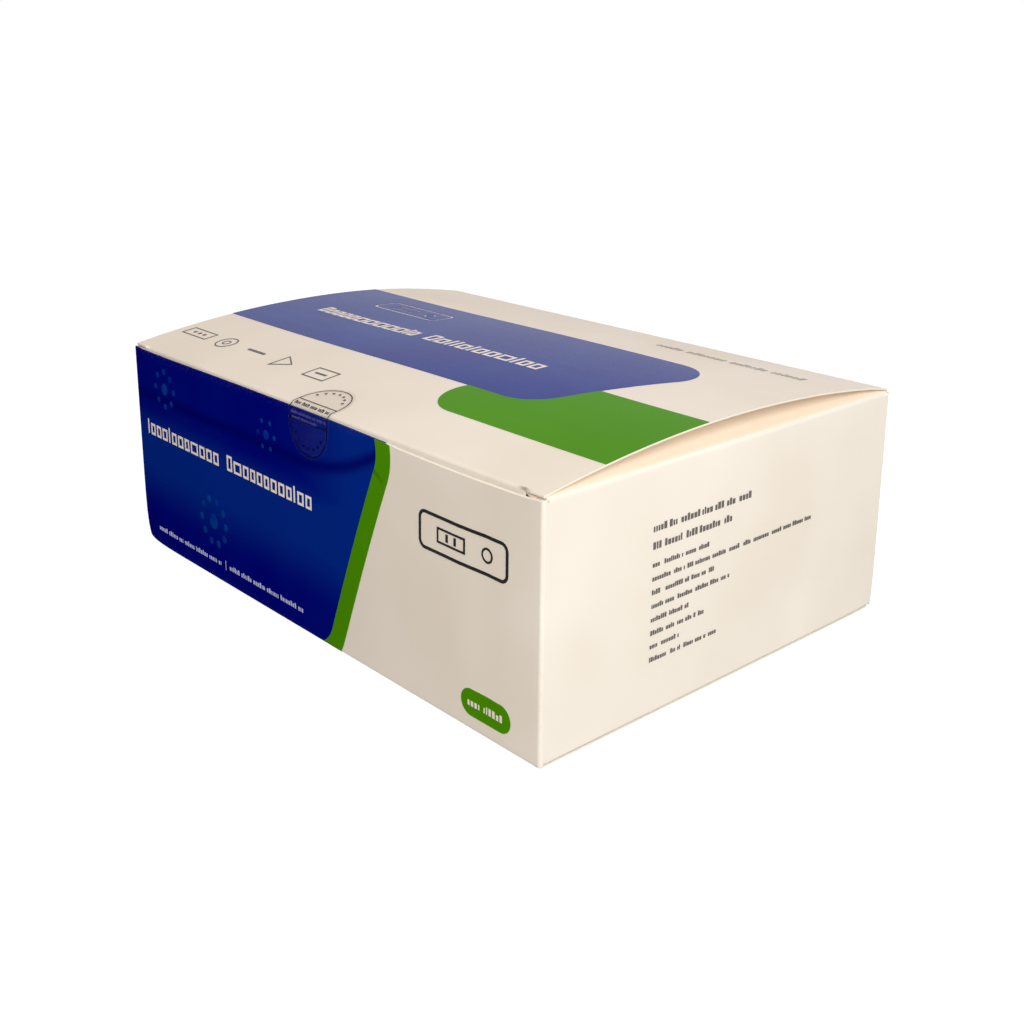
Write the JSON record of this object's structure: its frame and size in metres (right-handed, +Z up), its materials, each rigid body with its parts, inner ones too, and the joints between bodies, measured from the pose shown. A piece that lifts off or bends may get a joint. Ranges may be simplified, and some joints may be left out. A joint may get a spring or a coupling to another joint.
{
  "type": "folding carton",
  "caption": "Closed reverse-tuck folding carton of a laboratory test kit, with an arched lid, printed fields and a clear seal.",
  "frame": {"origin": "middle of the carton's underside", "axes": "+X along the length to the end with the printed lines, -Y out of the front with the large printed field, +Z up through the lid"},
  "size_m": [0.2002, 0.1422, 0.0766],
  "materials": {
    "coated_board": "folding boxboard, white clay coating outside under a soft-gloss varnish, raw cut edges",
    "seal_film": "clear polypropylene film with a glossy face",
    "dark_ink": "printed dark grey",
    "navy_ink": "printed deep blue under varnish",
    "lid_navy_ink": "printed deep blue under varnish",
    "green_ink": "printed leaf green",
    "light_blue_ink": "printed lighter blue",
    "black_ink": "printed black"
  },
  "bodies": {
    "root": {"carton": "coated_board", "clear_seal": "seal_film", "seal_print": "dark_ink", "front_blue_field": "navy_ink", "front_green_band": "green_ink", "front_dots": "light_blue_ink", "front_emblem": "black_ink", "front_badge": "green_ink", "lid_blue_field": "lid_navy_ink", "lid_green_field": "green_ink", "lid_marks": "dark_ink", "end_lines": "dark_ink"}
  },
  "joints": []
}
